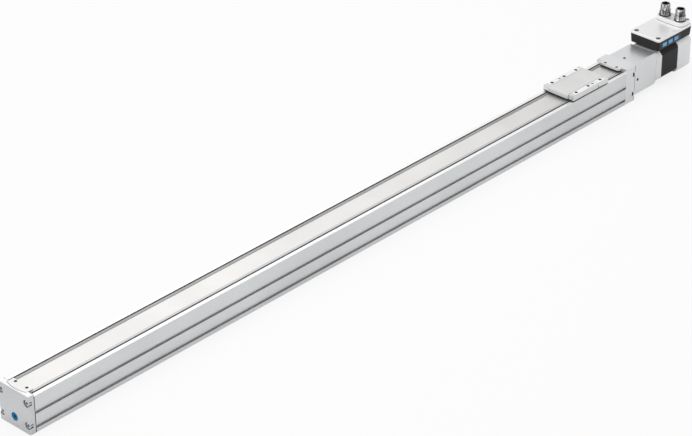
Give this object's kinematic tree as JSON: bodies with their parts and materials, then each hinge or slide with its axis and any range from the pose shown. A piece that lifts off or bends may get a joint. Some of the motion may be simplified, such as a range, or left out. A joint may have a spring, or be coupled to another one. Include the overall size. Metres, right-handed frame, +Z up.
{
  "type": "ball screw linear axis",
  "caption": "Ball screw linear axis: covered extruded profile, travelling slide, end cap and bearing block, coupling housing and a stepper motor with built-on electronics and push keys.",
  "frame": {"origin": "middle of the profile's flat underside, half way along its length", "axes": "+X along the axis from the near cap to the motor, +Z up out of the covered side, +Y to the left"},
  "size_m": [1.0575, 0.045, 0.082],
  "materials": {
    "profile_aluminium": "clear anodised, fine drawn surface",
    "cap_aluminium": "machined and clear anodised",
    "slide_aluminium": "clear anodised with bright machined pads",
    "strip_steel": "stainless strip, fine satin",
    "bearing_steel": "ground",
    "fastener_steel": "zinc plated",
    "hub_aluminium": "turned",
    "motor_cast": "die-cast, satin",
    "stator_black": "black painted laminations",
    "box_black": "fine-grained moulding",
    "lid_cast": "die-cast, silver lacquer",
    "cover_plastic": "light grey moulding",
    "runner_plastic": "moulded",
    "black_rubber": "matt",
    "wiper_felt": "pressed felt",
    "plug_blue": "moulded",
    "panel_blue": "smooth foil",
    "key_blue": "translucent moulding",
    "board_green": "solder resist",
    "connector_metal": "nickel plated",
    "insert_black": "moulded",
    "spider_blue": "cast polyurethane"
  },
  "bodies": {
    "base": {"profile": "profile_aluminium", "cover_carrier": "profile_aluminium", "end_cap": "cap_aluminium", "strip_clamp": "cap_aluminium", "drive_cover": "cap_aluminium", "coupling_housing": "cap_aluminium", "bearing_retainer": "cap_aluminium", "cover_strip": "strip_steel", "guide_rail": "bearing_steel", "floating_bearing": "bearing_steel", "fixed_bearings": "bearing_steel", "motor_bearings": "bearing_steel", "end_cap_screws": "fastener_steel", "strip_clamp_screws": "fastener_steel", "rail_screws": "fastener_steel", "drive_cover_screws": "fastener_steel", "tongue_screws": "fastener_steel", "housing_screws": "fastener_steel", "motor_screws": "fastener_steel", "bell_screws": "fastener_steel", "lid_screws": "fastener_steel", "motor_flange": "motor_cast", "rear_bell": "motor_cast", "motor_stator": "stator_black", "electronics_housing": "box_black", "electronics_lid": "lid_cast", "strip_pad": "runner_plastic", "near_buffers": "black_rubber", "drive_buffers": "black_rubber", "lid_gasket": "black_rubber", "service_plug": "plug_blue", "key_panel": "panel_blue", "controller_board": "board_green", "switch_board": "board_green", "left_connector": "connector_metal", "right_connector": "connector_metal", "left_connector_nut": "connector_metal", "right_connector_nut": "connector_metal", "left_insert": "insert_black", "right_insert": "insert_black"},
    "carriage": {"slide": "slide_aluminium", "slide_cover": "cover_plastic", "near_wiper": "wiper_felt", "drive_wiper": "wiper_felt", "ball_nut": "bearing_steel", "nut_screws": "fastener_steel", "runner_block": "bearing_steel", "runner_caps": "runner_plastic", "runner_screws": "fastener_steel"},
    "screw": {"ball_screw": "bearing_steel", "lock_nut": "bearing_steel", "screw_hub": "hub_aluminium", "motor_hub": "hub_aluminium", "coupling_spider": "spider_blue", "motor_rotor": "bearing_steel"},
    "front_key": {"front_key": "key_blue"},
    "middle_key": {"middle_key": "key_blue"},
    "rear_key": {"rear_key": "key_blue"}
  },
  "joints": [
    {"name": "carriage_slide", "type": "slide", "parent": "base", "child": "carriage", "axis": [-1, 0, 0], "range_m": [0, 0.8]},
    {"name": "screw_spin", "type": "hinge", "parent": "base", "child": "screw", "pos_m": [0, 0, 0.0247], "axis": [1, 0, 0], "continuous": true},
    {"name": "front_key_press", "type": "slide", "parent": "base", "child": "front_key", "axis": [0, 1, 0], "range_m": [0, 0.0004], "stiffness_N_per_m": 2000, "springref_m": -0.0004},
    {"name": "middle_key_press", "type": "slide", "parent": "base", "child": "middle_key", "axis": [0, 1, 0], "range_m": [0, 0.0004], "stiffness_N_per_m": 2000, "springref_m": -0.0004},
    {"name": "rear_key_press", "type": "slide", "parent": "base", "child": "rear_key", "axis": [0, 1, 0], "range_m": [0, 0.0004], "stiffness_N_per_m": 2000, "springref_m": -0.0004}
  ],
  "couplings": [
    {"joint": "screw_spin", "follows": "carriage_slide", "rad_per_m": 628.32}
  ]
}
